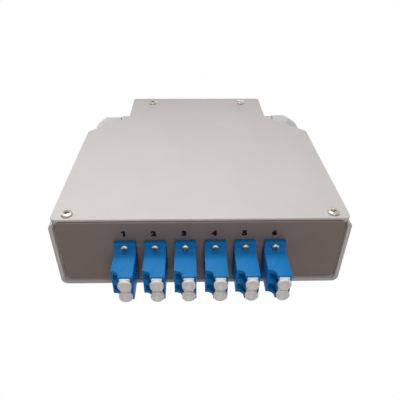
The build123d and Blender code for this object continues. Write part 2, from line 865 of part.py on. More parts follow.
# Cable clamps and earth stud
def cable_clamp(side):
    outer_radius = saddle_radius + saddle_sheet
    level = saddle_radius
    above_floor = Pos(0, outer_radius / 2 - level / 2) * Rectangle(2 * outer_radius, outer_radius + level)
    arch = Circle(outer_radius) & above_floor
    reach = outer_radius + saddle_foot
    feet = Pos(0, -level + saddle_sheet / 2) * Rectangle(2 * reach, saddle_sheet)
    cable = Circle(saddle_radius) + Pos(0, -level / 2 - 0.1) * Rectangle(2 * saddle_radius, level + 0.2)
    strip = extrude(arch + feet - cable, saddle_width / 2, both=True)
    across = Plane(origin=(side * saddle_x, gland_y, sheet + level), x_dir=(0, 1, 0), z_dir=(1, 0, 0))
    strip = across * strip
    for x, y in saddle_screw_places():
        if x * side > 0:
            strip -= along_z(m3_hole_radius, 0, sheet + saddle_sheet + 1, x, y)
    return strip


def clamp_screws():
    length = saddle_sheet + sheet - clamp_screw_inset
    screw = pan_screw(m3_shank_radius, length, m3_head_radius, m3_head_height)
    level = sheet + saddle_sheet
    return group([Pos(x, y, level) * screw for x, y in saddle_screw_places()])


def earth_stud():
    return along_z(earth_stud_radius, sheet, sheet + earth_stud_height, 0, earth_stud_y)


def earth_washer():
    washer = ring(earth_washer_radius, earth_nut_bore, 0, earth_washer_thickness)
    return Pos(0, earth_stud_y, sheet) * washer


def earth_nut():
    nut = hex_nut(earth_nut_flats, earth_nut_thickness, earth_nut_bore)
    return Pos(0, earth_stud_y, sheet + earth_washer_thickness) * nut


os.makedirs("parts", exist_ok=True)

keep("base_tray", base_tray())
keep("top_cover", top_cover())
keep("cover_screws", cover_screws())
keep("cover_clinch_nuts", clinch_nuts())
keep("front_panel", front_panel())
keep("panel_studs", panel_studs())
keep("panel_bracket_left", panel_bracket(-1))
keep("panel_bracket_right", panel_bracket(1))
keep("bracket_nuts", bracket_nuts())

housing = adapter_housing()
for number, x in enumerate(adapter_places(), start=1):
    keep("adapter_" + str(number), Pos(x, 0, adapter_axis_height) * housing)
keep("split_sleeves", split_sleeves())
keep("adapter_screws", adapter_screws())
keep("adapter_nuts", adapter_nuts())

outer_cap = dust_cap(True)
for name, x, z in port_places():
    keep("dust_cap_" + name, Pos(x, port_mouth - cap_standoff, z) * outer_cap)
keep("inner_dust_caps", inner_caps())

glands = (
    (-1, "left", dome_turn_left, dome_gap_left),
    (1, "right", dome_turn_right, dome_gap_right),
)
for side, word, turn, gap in glands:
    keep("gland_gasket_" + word, on_tab(gland_gasket(), side))
    keep("gland_body_" + word, on_tab(gland_body(), side))
    keep("gland_seal_" + word, on_tab(gland_seal(), side))
    keep("gland_nut_" + word, on_tab(dome_nut(gap), side, turn))
    keep("gland_locknut_" + word, on_tab(gland_locknut(), side))
    keep("cable_clamp_" + word, cable_clamp(side))

keep("rail_clip_body", clip_body())
keep("rail_latch", rail_latch())
keep("latch_spring", latch_spring())
keep("clip_screws", clip_screws())
keep("clip_nuts", clip_nuts())

keep("splice_tray", splice_tray())
keep("splice_comb", splice_comb())
keep("tray_standoffs", tray_standoffs())
keep("splice_tray_screws", splice_tray_screws())
keep("clamp_screws", clamp_screws())
keep("earth_stud", earth_stud())
keep("earth_washer", earth_washer())
keep("earth_nut", earth_nut())
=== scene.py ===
import json
import math
import bpy
import bmesh
from mathutils import Matrix, Vector

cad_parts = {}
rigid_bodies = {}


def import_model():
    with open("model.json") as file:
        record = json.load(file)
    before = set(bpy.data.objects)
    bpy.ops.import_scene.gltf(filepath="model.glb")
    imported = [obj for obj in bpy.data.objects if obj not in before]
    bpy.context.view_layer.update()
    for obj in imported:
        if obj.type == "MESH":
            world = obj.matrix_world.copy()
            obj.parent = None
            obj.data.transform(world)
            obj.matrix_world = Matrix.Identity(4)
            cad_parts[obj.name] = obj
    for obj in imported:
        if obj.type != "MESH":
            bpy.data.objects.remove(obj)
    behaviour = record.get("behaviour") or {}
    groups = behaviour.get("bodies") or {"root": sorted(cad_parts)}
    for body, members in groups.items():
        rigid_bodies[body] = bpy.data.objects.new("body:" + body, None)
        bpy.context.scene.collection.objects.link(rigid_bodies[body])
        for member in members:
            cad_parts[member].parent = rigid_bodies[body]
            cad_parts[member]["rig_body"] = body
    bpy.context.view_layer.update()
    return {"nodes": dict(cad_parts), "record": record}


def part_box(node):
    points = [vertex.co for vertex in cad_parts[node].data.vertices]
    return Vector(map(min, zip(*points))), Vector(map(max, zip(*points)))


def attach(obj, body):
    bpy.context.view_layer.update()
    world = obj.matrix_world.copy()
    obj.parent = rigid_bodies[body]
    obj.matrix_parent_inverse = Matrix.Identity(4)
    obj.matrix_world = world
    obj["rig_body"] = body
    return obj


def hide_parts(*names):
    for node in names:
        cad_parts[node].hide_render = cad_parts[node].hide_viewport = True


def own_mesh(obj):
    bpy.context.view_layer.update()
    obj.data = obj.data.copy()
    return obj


mm = 0.001
mergeDistance = 0.002 * mm  # joins the loose triangles of a CAD node
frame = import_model()
nodes = frame["nodes"]
slotOf = {entry["node"]: entry["material_slot"] for entry in frame["record"]["subparts"]}
sides = {"left": -1, "right": 1}
numbers = range(1, 7)
adapters = ["adapter_" + str(number) for number in numbers]
ports = [str(number) + letter for number in numbers for letter in "ab"]
print("frame loaded:", len(nodes), "nodes")


# shader building blocks

midBand = (0.3, 0.7)  # where most of a noise lies


def startMaterial(name):
    material = bpy.data.materials.new(name)
    material.use_nodes = True
    tree = material.node_tree
    return material, tree, tree.nodes["Principled BSDF"]


def objectPoint(tree, stretch=(1, 1, 1)):
    coordinate = tree.nodes.new("ShaderNodeTexCoord")
    mapping = tree.nodes.new("ShaderNodeMapping")
    mapping.inputs["Scale"].default_value = stretch
    tree.links.new(coordinate.outputs["Object"], mapping.inputs["Vector"])
    return mapping.outputs["Vector"]


def noise(tree, point, scale, detail=3.0, roughness=0.5):
    node = tree.nodes.new("ShaderNodeTexNoise")
    node.inputs["Scale"].default_value = scale
    node.inputs["Detail"].default_value = detail
    node.inputs["Roughness"].default_value = roughness
    tree.links.new(point, node.inputs["Vector"])
    return node.outputs["Fac"]


def speckDistance(tree, point, scale):
    node = tree.nodes.new("ShaderNodeTexVoronoi")
    node.inputs["Scale"].default_value = scale
    tree.links.new(point, node.inputs["Vector"])
    return node.outputs["Distance"]


def remap(tree, value, band, result):
    node = tree.nodes.new("ShaderNodeMapRange")
    for label, limit in zip(("From Min", "From Max", "To Min", "To Max"), (*band, *result)):
        node.inputs[label].default_value = limit
    tree.links.new(value, node.inputs["Value"])
    return node.outputs["Result"]


def blendColor(tree, factor, colorA, colorB):
    node = tree.nodes.new("ShaderNodeMix")
    node.data_type = "RGBA"
    # this node's sockets 6 and 7 take the colors, and its output 2 gives one
    for socket, color in ((node.inputs[6], colorA), (node.inputs[7], colorB)):
        if isinstance(color, tuple):
            socket.default_value = (*color, 1)
        else:
            tree.links.new(color, socket)
    tree.links.new(factor, node.inputs[0])
    return node.outputs[2]


def addRelief(tree, shader, layers):
    normal = None
    for height, strength, distance in layers:
        bump = tree.nodes.new("ShaderNodeBump")
        bump.inputs["Strength"].default_value = strength
        bump.inputs["Distance"].default_value = distance
        tree.links.new(height, bump.inputs["Height"])
        if normal:
            tree.links.new(normal, bump.inputs["Normal"])
        normal = bump.outputs["Normal"]
    tree.links.new(normal, shader.inputs["Normal"])


def darker(color, amount):
    return tuple(channel * amount for channel in color)


# powder coated sheet: cloudy tone, orange peel, a few grains in the coat

powder = {
    "cloud": {"scale": 38, "detail": 4, "roughness": 0.6}, "cloudBand": (0.32, 0.68), "cloudShade": 0.955,
    "grainScale": 210, "grainSize": 0.09, "grainCover": 0.16, "grainShade": 0.35,
    "sheenScale": 60, "roughness": (0.44, 0.56), "specular": 0.35,
    "peel": {"scale": 900, "detail": 2}, "peelStrength": 0.16, "peelHeight": 0.10 * mm,
    "pores": {"scale": 3800, "detail": 1}, "poreStrength": 0.096, "poreHeight": 0.03 * mm}


def powderCoat(name, color):
    material, tree, shader = startMaterial(name)
    point = objectPoint(tree)
    cloud = remap(tree, noise(tree, point, **powder["cloud"]), powder["cloudBand"], (0, 1))
    tone = blendColor(tree, cloud, darker(color, powder["cloudShade"]), color)
    distance = speckDistance(tree, point, powder["grainScale"])
    grains = remap(tree, distance, (0, powder["grainSize"]), (powder["grainCover"], 0))
    tone = blendColor(tree, grains, tone, darker(color, powder["grainShade"]))
    tree.links.new(tone, shader.inputs["Base Color"])
    rough = remap(tree, noise(tree, point, powder["sheenScale"]), midBand, powder["roughness"])
    tree.links.new(rough, shader.inputs["Roughness"])
    shader.inputs["Specular IOR Level"].default_value = powder["specular"]
    addRelief(tree, shader, [
        (noise(tree, point, **powder["peel"]), powder["peelStrength"], powder["peelHeight"]),
        (noise(tree, point, **powder["pores"]), powder["poreStrength"], powder["poreHeight"]),
    ])
    return material


# injection moulded plastic: slight flow marks, fine skin

moulding = {
    "flowStretch": (1, 0.35, 1), "flowMarks": {"scale": 190, "roughness": 0.55},
    "skin": {"scale": 2600, "detail": 2}, "skinHeight": 0.04 * mm, "smoother": 0.05, "rougher": 0.07}


def mouldedPlastic(name, color, roughness, grain, specular, flow):
    material, tree, shader = startMaterial(name)
    point = objectPoint(tree, moulding["flowStretch"])
    marks = remap(tree, noise(tree, point, **moulding["flowMarks"]), midBand, (0, 1))
    tree.links.new(blendColor(tree, marks, darker(color, flow), color), shader.inputs["Base Color"])
    skin = noise(tree, objectPoint(tree), **moulding["skin"])
    spread = (roughness - moulding["smoother"], roughness + moulding["rougher"])
    tree.links.new(remap(tree, skin, midBand, spread), shader.inputs["Roughness"])
    shader.inputs["Specular IOR Level"].default_value = specular
    addRelief(tree, shader, [(skin, grain, moulding["skinHeight"])])
    return material


# plated or drawn metal: fine lines and stains

plating = {
    "lineStretch": (1, 1, 14), "lineScale": 900, "lineStrength": 0.06, "lineHeight": 0.02 * mm,
    "stainScale": 420, "stainBand": (0.35, 0.7), "stainShade": 0.8, "smoother": 0.06, "rougher": 0.1}


def platedMetal(name, color, roughness):
    material, tree, shader = startMaterial(name)
    drawn = noise(tree, objectPoint(tree, plating["lineStretch"]), plating["lineScale"])
    stain = remap(tree, noise(tree, objectPoint(tree), plating["stainScale"]), plating["stainBand"], (0, 1))
    tone = blendColor(tree, stain, darker(color, plating["stainShade"]), color)
    tree.links.new(tone, shader.inputs["Base Color"])
    spread = (roughness - plating["smoother"], roughness + plating["rougher"])
    tree.links.new(remap(tree, drawn, midBand, spread), shader.inputs["Roughness"])
    shader.inputs["Metallic"].default_value = 1.0
    addRelief(tree, shader, [(drawn, plating["lineStrength"], plating["lineHeight"])])
    return material


# soft rubber with a pale bloom, and printed ink that is a little worn

rubber = {
    "bloomScale": 300, "bloomBand": (0.4, 0.7), "bloomShade": 1.8, "roughness": 0.75,
    "grain": {"scale": 3000, "detail": 2}, "grainStrength": 0.15, "grainHeight": 0.05 * mm}
ink = {
    "color": (0.005, 0.005, 0.005), "wear": {"scale": 2500, "detail": 2}, "wearBand": (0.35, 0.75),
    "wearShade": 2.2, "roughness": 0.8, "specular": 0.08}


def softRubber(name, color):
    material, tree, shader = startMaterial(name)
    point = objectPoint(tree)
    bloom = remap(tree, noise(tree, point, rubber["bloomScale"]), rubber["bloomBand"], (0, 1))
    tone = blendColor(tree, bloom, color, darker(color, rubber["bloomShade"]))
    tree.links.new(tone, shader.inputs["Base Color"])
    shader.inputs["Roughness"].default_value = rubber["roughness"]
    grain = noise(tree, point, **rubber["grain"])
    addRelief(tree, shader, [(grain, rubber["grainStrength"], rubber["grainHeight"])])
    return material


def printInk(name):
    material, tree, shader = startMaterial(name)
    worn = remap(tree, noise(tree, objectPoint(tree), **ink["wear"]), ink["wearBand"], (0, 1))
    tone = blendColor(tree, worn, ink["color"], darker(ink["color"], ink["wearShade"]))
    tree.links.new(tone, shader.inputs["Base Color"])
    shader.inputs["Roughness"].default_value = ink["roughness"]
    shader.inputs["Specular IOR Level"].default_value = ink["specular"]
    return material


finishes = {
    "tray_paint": powderCoat("tray paint", (0.71, 0.68, 0.665)),
    "cover_paint": powderCoat("cover paint", (0.72, 0.69, 0.675)),
    # the front panel's dark, warm colour is painted shade: its face lies in shade below the cover, while the
    # real paint is the light grey of the tray
    "panel_paint": powderCoat("panel paint darkened as shade", (0.255, 0.198, 0.172)),
    "nickel": platedMetal("nickel plate", (0.48, 0.44, 0.385), 0.30),
    "zinc": platedMetal("zinc plate", (0.66, 0.68, 0.70), 0.34),
    "spring_steel": platedMetal("spring steel", (0.55, 0.55, 0.56), 0.3),
    "brass": platedMetal("turned brass", (0.70, 0.50, 0.22), 0.25),
    "gland_rubber": softRubber("gland rubber", (0.16, 0.16, 0.158)),
}
plastics = {  # color, roughness, grain, specular, flow
    "adapter_blue": ((0.010, 0.235, 0.62), 0.42, 0.05, 0.10, 0.93),
    "cap_white": ((0.90, 0.88, 0.86), 0.45, 0.04, 0.4, 0.97),
    "ceramic": ((0.90, 0.88, 0.84), 0.15, 0.01, 0.6, 0.99),
    "gland_nylon": ((0.83, 0.83, 0.825), 0.40, 0.08, 0.45, 0.95),
    "clip_black": ((0.022, 0.022, 0.024), 0.5, 0.25, 0.45, 0.7),
    "splice_white": ((0.80, 0.80, 0.77), 0.42, 0.08, 0.45, 0.95),
    "comb_grey": ((0.42, 0.43, 0.44), 0.45, 0.08, 0.45, 0.92),
}
for slot, values in plastics.items():
    finishes[slot] = mouldedPlastic(slot.replace("_", " "), *values)
for name, node in nodes.items():
    for materialSlot in node.material_slots:
        materialSlot.material = finishes[slotOf[name]]
print("materials on CAD nodes")


# piece building blocks

def linkPiece(name, mesh):
    piece = bpy.data.objects.new(name, mesh)
    bpy.context.scene.collection.objects.link(piece)
    return piece


def evaluatedMesh(piece):
    evaluated = piece.evaluated_get(bpy.context.evaluated_depsgraph_get())
    return bpy.data.meshes.new_from_object(evaluated)


def bakePiece(piece):
    mesh = evaluatedMesh(piece)
    piece.modifiers.clear()
    piece.data = mesh


def cutAway(piece, cutter):
    cut = piece.modifiers.new("cut", "BOOLEAN")
    cut.operation = "DIFFERENCE"
    cut.solver = "EXACT"
    cut.object = cutter
    bakePiece(piece)
    bpy.data.objects.remove(cutter)


def placePiece(piece, body, slot, *replaced):
    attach(piece, body)
    if replaced:
        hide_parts(*replaced)


def mergedForm(name):
    # a node's own triangles, joined to one surface
    form = bmesh.new()
    form.from_mesh(nodes[name].data)
    bmesh.ops.remove_doubles(form, verts=form.verts, dist=mergeDistance)
    return form


def finishForm(form, name):
    mesh = bpy.data.meshes.new(name)
    form.to_mesh(mesh)
    form.free()
    return mesh


def islandBoxes(name):
    # lowest and highest corner of each separate solid in a node, in the order of their places
    form = mergedForm(name)
    waiting = set(form.verts)
    boxes = []
    while waiting:
        stack = [waiting.pop()]
        found = []
        while stack:
            vertex = stack.pop()
            found.append(vertex.co.copy())
            for edge in vertex.link_edges:
                other = edge.other_vert(vertex)
                if other in waiting:
                    waiting.remove(other)
                    stack.append(other)
        low = Vector([min(p[axis] for p in found) for axis in range(3)])
        high = Vector([max(p[axis] for p in found) for axis in range(3)])
        boxes.append((low, high))
    form.free()
    return sorted(boxes, key=lambda box: [round(value, 5) for value in box[0]])


def endPoints(boxes, axis, highEnd, inset):
    # a point on the middle line of each solid, set in from one of its ends
    points = []
    for low, high in boxes:
        point = (low + high) / 2
        point[axis] = high[axis] - inset if highEnd else low[axis] + inset
        points.append(point)
    return points


def arcTurns(steps, start=0):
    # angles from the start in degrees to a quarter turn
    return [math.radians(start + (90 - start) * step / steps) for step in range(steps + 1)]


def ringForm(name, rings, segments, hollow=False):
    # rings: functions or numbers of radius with a height; a hollow form joins its last ring to its first
    form = bmesh.new()
    rows = []
    for radius, height in rings:
        if not callable(radius) and radius == 0:
            rows.append([form.verts.new((0, 0, height))])
            continue
        row = []
        for step in range(segments):
            turn = 2 * math.pi * step / segments
            reach = radius(turn) if callable(radius) else radius
            row.append(form.verts.new((reach * math.cos(turn), reach * math.sin(turn), height)))
        rows.append(row)
    follow = rows[1:] + rows[:1] if hollow else rows[1:]
    for lower, upper in zip(rows, follow):
        for step in range(segments):
            after = (step + 1) % segments
            if len(lower) == 1:
                form.faces.new((lower[0], upper[after], upper[step]))
            elif len(upper) == 1:
                form.faces.new((lower[step], lower[after], upper[0]))
            else:
                form.faces.new((lower[step], lower[after], upper[after], upper[step]))
    bmesh.ops.recalc_face_normals(form, faces=form.faces)
    mesh = finishForm(form, name)
    mesh.shade_smooth()
    return mesh


threadForm = {"rowsPerPitch": 6, "fewestRows": 6, "runout": 1.6}  # full depth after 1 / runout of a pitch


def threadRings(crest, depth, pitch, start, end):
    # rows of a screw thread that runs out at both ends
    rows = max(threadForm["fewestRows"], int(abs(end - start) / pitch * threadForm["rowsPerPitch"]))

    def atHeight(height, taper):
        def radius(turn):
            phase = (height / pitch - turn / (2 * math.pi)) % 1.0
            return crest - depth * max(abs(2 * phase - 1), taper)
        return radius

    rings = []
    for row in range(rows + 1):
        height = start + (end - start) * row / rows
        near = min(abs(height - start), abs(height - end)) / pitch
        rings.append((atHeight(height, 1 - min(1.0, near * threadForm["runout"])), height))
    return rings


def prism(name, outline, bottom, top, taper=1.0):
    # a flat outline given a height; taper shrinks its lower end
    form = bmesh.new()
    upper = [form.verts.new((x, y, top)) for x, y in outline]
    lower = [form.verts.new((x * taper, y * taper, bottom)) for x, y in outline]
    form.faces.new(upper)
    form.faces.new(lower[::-1])
    for step in range(len(outline)):
        after = (step + 1) % len(outline)
        form.faces.new((upper[step], lower[step], lower[after], upper[after]))
    bmesh.ops.recalc_face_normals(form, faces=form.faces)
    return finishForm(form, name)


# screws: threaded shank, rounded pan head, cross recess

m2Screw = {"headRadius": 1.62 * mm, "headHeight": 1.3 * mm, "nodeHead": 1.3 * mm, "crest": 0.98 * mm,
           "pitch": 0.4 * mm, "threadDepth": 0.2 * mm, "segments": 24, "recessReach": 1.05 * mm,
           "recessWing": 0.34 * mm, "recessDepth": 1.0 * mm}
m3Screw = {"headRadius": 2.8 * mm, "headHeight": 1.5 * mm, "nodeHead": 1.5 * mm, "crest": 1.47 * mm,
           "pitch": 0.5 * mm, "threadDepth": 0.27 * mm, "segments": 32, "recessReach": 1.6 * mm,
           "recessWing": 0.48 * mm, "recessDepth": 1.2 * mm}
coverScrew = {**m3Screw, "headRadius": 2.48 * mm, "headHeight": 1.25 * mm, "recessReach": 1.35 * mm,
              "recessWing": 0.42 * mm, "recessDepth": 1.5 * mm}
headForm = {"steps": 8, "brim": 0.38, "crownCurve": 0.8, "flankCurve": 0.72, "rimHeight": 0.12,
            "footWidth": 0.97, "cutterRise": 1.2, "cutterTaper": 0.45, "sharp": 38}
facings = {
    "up": {"rotation": (0.0, 0.0, 0.0), "axis": 2, "headAtHighEnd": True},
    "front": {"rotation": (math.pi / 2, 0.0, 0.0), "axis": 1, "headAtHighEnd": False},
    "rear": {"rotation": (-math.pi / 2, 0.0, 0.0), "axis": 1, "headAtHighEnd": True},
}
screwGroups = {
    "cover_screws": {"size": coverScrew, "facing": "up", "seed": 3},
    "adapter_screws": {"size": m2Screw, "facing": "front", "seed": 8},
    "clip_screws": {"size": m3Screw, "facing": "rear", "seed": 5},
    "splice_tray_screws": {"size": m3Screw, "facing": "up", "seed": 4},
    "clamp_screws": {"size": m3Screw, "facing": "up", "seed": 9},
}


def crossCutter(name, reach, wing, top, bottom):
    # tapered cross: wide at the top, narrow at the bottom
    outline = [(wing, wing), (wing, reach), (-wing, reach), (-wing, wing), (-reach, wing), (-reach, -wing)]
    outline += [(-x, -y) for x, y in outline]
    return linkPiece(name, prism(name, outline, bottom, top, headForm["cutterTaper"]))


def screwMesh(name, size, length):
    headRadius = size["headRadius"]
    headHeight = size["headHeight"]
    brim = headForm["brim"]
    rings = [(0, headHeight)]
    for lean in arcTurns(headForm["steps"])[1:]:
        rise = headHeight * (brim + (1 - brim) * math.cos(lean) ** headForm["crownCurve"])
        rings.append((headRadius * math.sin(lean) ** headForm["flankCurve"], rise))
    rings.append((headRadius, headHeight * headForm["rimHeight"]))
    rings.append((headRadius * headForm["footWidth"], 0))
    rings += threadRings(size["crest"], size["threadDepth"], size["pitch"], 0, -length)
    rings.append((0, -length))
    screw = linkPiece(name, ringForm(name, rings, size["segments"]))
    cutAway(screw, crossCutter(name + "Recess", size["recessReach"], size["recessWing"],
                               headHeight * headForm["cutterRise"], headHeight - size["recessDepth"]))
    screw.data.set_sharp_from_angle(angle=math.radians(headForm["sharp"]))
    return screw


def scatterTree():
    # puts one copy of a piece on every point, each turned about its own axis
    tree = bpy.data.node_groups.new("screwsOnPoints", "GeometryNodeTree")
    inputs = {"Points": "Geometry", "Piece": "Object", "Facing": "Rotation", "Spin": "Float",
              "Seed": "Int", "Finish": "Material"}
    for label, kind in inputs.items():
        tree.interface.new_socket(label, in_out="INPUT", socket_type="NodeSocket" + kind)
    tree.interface.new_socket("Pieces", in_out="OUTPUT", socket_type="NodeSocketGeometry")
    given = tree.nodes.new("NodeGroupInput")
    result = tree.nodes.new("NodeGroupOutput")
    info = tree.nodes.new("GeometryNodeObjectInfo")
    place = tree.nodes.new("GeometryNodeInstanceOnPoints")
    chance = tree.nodes.new("FunctionNodeRandomValue")
    axis = tree.nodes.new("ShaderNodeCombineXYZ")
    turn = tree.nodes.new("GeometryNodeRotateInstances")
    real = tree.nodes.new("GeometryNodeRealizeInstances")
    paint = tree.nodes.new("GeometryNodeSetMaterial")
    join = tree.links.new
    join(given.outputs["Piece"], info.inputs["Object"])
    join(given.outputs["Points"], place.inputs["Points"])
    join(info.outputs["Geometry"], place.inputs["Instance"])
    join(given.outputs["Facing"], place.inputs["Rotation"])
    join(given.outputs["Spin"], chance.inputs[3])  # the highest value of a random number
    join(given.outputs["Seed"], chance.inputs["Seed"])
    join(chance.outputs[1], axis.inputs["Z"])  # the output for a plain number
    join(place.outputs["Instances"], turn.inputs["Instances"])
    join(axis.outputs["Vector"], turn.inputs["Rotation"])
    join(turn.outputs["Instances"], real.inputs["Geometry"])
    join(real.outputs["Geometry"], paint.inputs["Geometry"])
    join(given.outputs["Finish"], paint.inputs["Material"])
    join(paint.outputs["Geometry"], result.inputs["Pieces"])
    return tree


scatter = scatterTree()
socketOf = {item.name: item.identifier for item in scatter.interface.items_tree if item.in_out == "INPUT"}


def scatterPieces(name, points, model, facing, seed):
    # the copies stand in for a node; a cross recess looks the same after a quarter turn
    mesh = bpy.data.meshes.new(name + "_threaded")
    mesh.from_pydata([tuple(point) for point in points], [], [])
    group = linkPiece(name + "_threaded", mesh)
    spread = group.modifiers.new("scatter", "NODES")
    spread.node_group = scatter
    spread[socketOf["Piece"]] = model
    spread[socketOf["Facing"]] = facing["rotation"]
    spread[socketOf["Spin"]] = math.pi / 2
    spread[socketOf["Seed"]] = seed
    spread[socketOf["Finish"]] = finishes[slotOf[name]]
    bakePiece(group)
    bpy.data.objects.remove(model)
    placePiece(group, "box", slotOf[name], name)


def buildScrews():
    for name, group in screwGroups.items():
        facing = facings[group["facing"]]
        axis = facing["axis"]
        head = group["size"]["nodeHead"]
        boxes = islandBoxes(name)
        low, high = boxes[0]
        points = endPoints(boxes, axis, facing["headAtHighEnd"], head)
        model = screwMesh(name + "Model", group["size"], high[axis] - low[axis] - head)
        scatterPieces(name, points, model, facing, group["seed"])
    print("screws done:", len(screwGroups), "groups")


# studs: threaded rods that stand on a face

studGroups = {
    "panel_studs": {"crest": 1.5 * mm, "pitch": 0.5 * mm, "depth": 0.27 * mm, "facing": "rear", "seed": 2},
    "earth_stud": {"crest": 2.4 * mm, "pitch": 0.8 * mm, "depth": 0.42 * mm, "facing": "up", "seed": 6},
}
studForm = {"segments": 32, "sharp": 38}


def buildStuds():
    for name, group in studGroups.items():
        facing = facings[group["facing"]]
        axis = facing["axis"]
        boxes = islandBoxes(name)
        low, high = boxes[0]
        length = high[axis] - low[axis]
        thread = threadRings(group["crest"], group["depth"], group["pitch"], 0, length)
        rings = [(0, 0)] + thread + [(0, length)]
        model = linkPiece(name + "Model", ringForm(name + "Model", rings, studForm["segments"]))
        model.data.set_sharp_from_angle(angle=math.radians(studForm["sharp"]))
        scatterPieces(name, endPoints(boxes, axis, False, 0), model, facing, group["seed"])
    print("studs done")


# cable glands: hexagon body with two threads, dome nut with a rounded mouth

glandForm = {"flats": 22.0 * mm, "rounding": 0.2 * mm, "edge": 0.35 * mm, "threadRadius": 9.2 * mm,
             "threadDepth": 0.55 * mm, "pitch": 1.4 * mm, "boreRadius": 6.2 * mm, "collarRadius": 8.6 * mm,
             "collarLength": 8.0 * mm, "collarDepth": 0.45 * mm}
domeForm = {"flats": 21.5 * mm, "rounding": 0.2 * mm, "edge": 0.3 * mm, "hexLength": 7.2 * mm,
            "shoulderReach": 11.4 * mm, "shoulderRadius": 10.2 * mm, "tipRadius": 6.4 * mm,
            "tipLength": 0.7 * mm, "domeRows": 26, "mouthRadius": 4.6 * mm, "mouthRim": 1.0 * mm,
            "mouthLength": 2.2 * mm, "mouthRound": 0.3 * mm, "mouthRows": 3, "mouthStart": 20,
            "threadRadius": 8.68 * mm, "threadLength": 9.4 * mm, "crownRadius": 7.2 * mm,
            "turn": {"left": -6, "right": 30}}
glandFinish = {"segments": 96, "sharp": 42}
hexTurn = math.radians(60)


def cornerRadius(form):
    return form["flats"] / 2 / math.cos(hexTurn / 2)


def hexRadius(form, limit):
    # hexagon as a radius for each turn, with rounded corners no further out than the limit
    corner = min(limit, cornerRadius(form) - form["rounding"])

    def radius(turn):
        lean = turn % hexTurn - hexTurn / 2
        return min(corner, form["flats"] / 2 / math.cos(lean))
    return radius


def hexSections(form):
    # the full hexagon, and the one at its chamfered ends
    corner = cornerRadius(form)
    return hexRadius(form, corner), hexRadius(form, corner - form["rounding"] - form["edge"])


def circleThrough(first, second, third):
    # centre and radius of the circle through three points
    (ax, ay), (bx, by), (cx, cy) = first, second, third
    spread = 2 * (ax * (by - cy) + bx * (cy - ay) + cx * (ay - by))
    squareA = ax * ax + ay * ay
    squareB = bx * bx + by * by
    squareC = cx * cx + cy * cy
    x = (squareA * (by - cy) + squareB * (cy - ay) + squareC * (ay - by)) / spread
    y = (squareA * (cx - bx) + squareB * (ax - cx) + squareC * (bx - ax)) / spread
    return x, y, math.hypot(ax - x, ay - y)


def bodyRings(start, hexStart, end):
    form = glandForm
    edge = form["edge"]
    bore = form["boreRadius"]
    shank = form["threadRadius"]
    hexEnd = end - form["collarLength"]
    full, cut = hexSections(form)
    rings = [(bore, start)]
    rings += threadRings(shank, form["threadDepth"], form["pitch"], start, 0)
    rings += [(shank, 0), (shank, hexStart), (cut, hexStart), (full, hexStart + edge), (full, hexEnd - edge),
              (cut, hexEnd)]
    rings += threadRings(form["collarRadius"], form["collarDepth"], form["pitch"], hexEnd, end)
    rings.append((bore, end))
    return rings


def domeRings(length):
    form = domeForm
    rounding = form["mouthRound"]
    mouth = form["mouthRadius"]
    rim = mouth + form["mouthRim"]
    tipStart = length - form["tipLength"]
    hexEnd = form["hexLength"]
    full, cut = hexSections(form)
    # one arc from the hexagon's corner over the shoulder to the tip
    middle, centre, reach = circleThrough((hexEnd, cornerRadius(form) - form["rounding"]),
                                          (form["shoulderReach"], form["shoulderRadius"]),
                                          (tipStart, form["tipRadius"]))
    rings = [(form["threadRadius"], 0), (cut, 0), (full, form["edge"]), (full, hexEnd)]
    for row in range(1, form["domeRows"] + 1):
        height = hexEnd + (tipStart - hexEnd) * row / form["domeRows"]
        limit = centre + math.sqrt(reach ** 2 - (height - middle) ** 2)
        rings.append((hexRadius(form, limit), height))
    roundAt = length - rounding
    for lean in arcTurns(form["mouthRows"], form["mouthStart"]):
        rings.append((rim - rounding + rounding * math.cos(lean), roundAt + rounding * math.sin(lean)))
    for lean in arcTurns(form["mouthRows"]):
        rings.append((mouth + rounding - rounding * math.sin(lean), roundAt + rounding * math.cos(lean)))
    rings += [(mouth, length - form["mouthLength"]), (form["crownRadius"], form["threadLength"]),
              (form["threadRadius"], form["threadLength"])]
    return rings


def buildGlands():
    for side, sign in sides.items():
        gasketLow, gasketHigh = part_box("gland_gasket_" + side)
        wall, hexStart = sorted((abs(gasketLow.x), abs(gasketHigh.x)))
        centre = (gasketLow + gasketHigh) / 2
        bodyLow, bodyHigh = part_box("gland_body_" + side)
        bodyStart, bodyEnd = sorted((abs(bodyLow.x), abs(bodyHigh.x)))
        nutLow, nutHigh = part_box("gland_nut_" + side)
        nutStart, nutEnd = sorted((abs(nutLow.x), abs(nutHigh.x)))
        outward = Matrix.Rotation(sign * math.pi / 2, 4, "Y")
        onWall = Matrix.Translation((sign * wall, centre.y, centre.z)) @ outward
        onBody = Matrix.Translation((sign * nutStart, centre.y, centre.z)) @ outward
        onBody = onBody @ Matrix.Rotation(math.radians(domeForm["turn"][side]), 4, "Z")
        bodyShape = bodyRings(bodyStart - wall, hexStart - wall, bodyEnd - wall)
        domeShape = domeRings(nutEnd - nutStart)
        for kind, rings, place, body in (("gland_body_", bodyShape, onWall, "box"),
                                         ("gland_nut_", domeShape, onBody, "gland_nut_" + side)):
            name = kind + side
            mesh = ringForm(name + "_moulded", rings, glandFinish["segments"], hollow=True)
            mesh.transform(place)
            mesh.set_sharp_from_angle(angle=math.radians(glandFinish["sharp"]))
            mesh.materials.append(finishes[slotOf[name]])
            placePiece(linkPiece(name + "_moulded", mesh), body, slotOf[name], name)
    print("glands done")


# dust caps: round plug, stop collar with flat sides, turned head with a dished face

